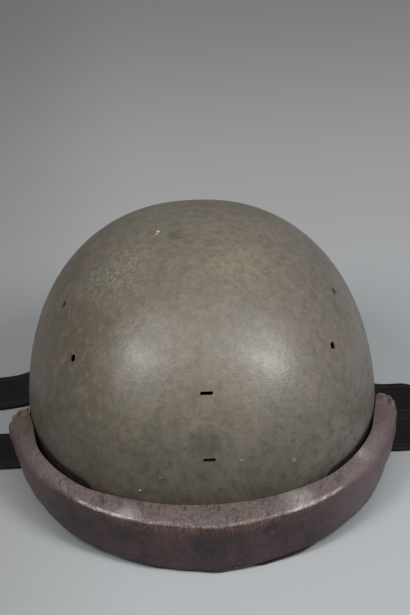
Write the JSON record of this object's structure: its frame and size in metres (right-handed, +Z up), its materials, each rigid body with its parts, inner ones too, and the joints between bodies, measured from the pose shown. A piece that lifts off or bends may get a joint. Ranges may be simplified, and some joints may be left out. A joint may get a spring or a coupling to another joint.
{
  "type": "motorized troops helmet",
  "caption": "Steel dome helmet with a thick leather front bumper, a flared neck guard, a tongued leather liner and a splayed two-part chin strap.",
  "frame": {"origin": "centre of the bowl's plan, on the surface that the helmet stands on", "axes": "+Z up, -Y towards the front with the bumper, +X towards the wearer's left"},
  "size_m": [0.5828, 0.2883, 0.1487],
  "materials": {
    "olive_paint": "satin, worn",
    "bumper_leather": "satin, creased",
    "stuffing": "matte",
    "felt": "matte",
    "liner_leather": "matte",
    "strap_leather": "satin",
    "lace_cord": "matte",
    "bare_steel": "dull",
    "aluminium": "dull"
  },
  "bodies": {
    "helmet": {"shell": "olive_paint", "bumper_cover": "bumper_leather", "bumper_core": "stuffing", "bumper_backing": "bumper_leather", "bumper_lip": "bumper_leather", "bumper_clips": "bare_steel", "felt_band": "felt", "sweatband": "liner_leather", "crown_leather": "liner_leather", "crown_lace": "lace_cord", "bracket_front": "bare_steel", "bracket_rear": "bare_steel", "bracket_right": "bare_steel", "bracket_left": "bare_steel", "liner_rivets": "bare_steel", "spacer_front_right": "aluminium", "spacer_front_left": "aluminium", "spacer_rear_right": "aluminium", "spacer_rear_left": "aluminium", "anchor_front_right": "bare_steel", "anchor_rear_right": "bare_steel", "anchor_front_left": "bare_steel", "anchor_rear_left": "bare_steel"},
    "right_strap": {"right_front_leg": "strap_leather", "right_rear_leg": "strap_leather", "right_main_strap": "strap_leather", "right_strap_rivets": "bare_steel"},
    "left_strap": {"left_front_leg": "strap_leather", "left_rear_leg": "strap_leather", "left_main_strap": "strap_leather", "left_strap_rivets": "bare_steel"},
    "buckle_frame": {"buckle_frame": "bare_steel"},
    "buckle_prong": {"buckle_prong": "bare_steel"},
    "strap_keeper": {"strap_keeper": "strap_leather"}
  },
  "joints": [
    {"name": "right_strap_swing", "type": "hinge", "parent": "helmet", "child": "right_strap", "pos_m": [-0.086, 0, 0.017], "axis": [0, 1, 0], "range_deg": [-80, 20]},
    {"name": "left_strap_swing", "type": "hinge", "parent": "helmet", "child": "left_strap", "pos_m": [0.086, 0, 0.017], "axis": [0, -1, 0], "range_deg": [-80, 20]},
    {"name": "buckle_frame_turn", "type": "hinge", "parent": "left_strap", "child": "buckle_frame", "pos_m": [0.248, 0.004, 0.0043], "axis": [0, -1, 0], "range_deg": [-5, 90]},
    {"name": "buckle_prong_turn", "type": "hinge", "parent": "buckle_frame", "child": "buckle_prong", "pos_m": [0.248, 0.004, 0.0043], "axis": [0, -1, 0], "range_deg": [0, 50]},
    {"name": "keeper_slide", "type": "slide", "parent": "left_strap", "child": "strap_keeper", "axis": [-1, 0, 0], "range_m": [0, 0.012]}
  ]
}
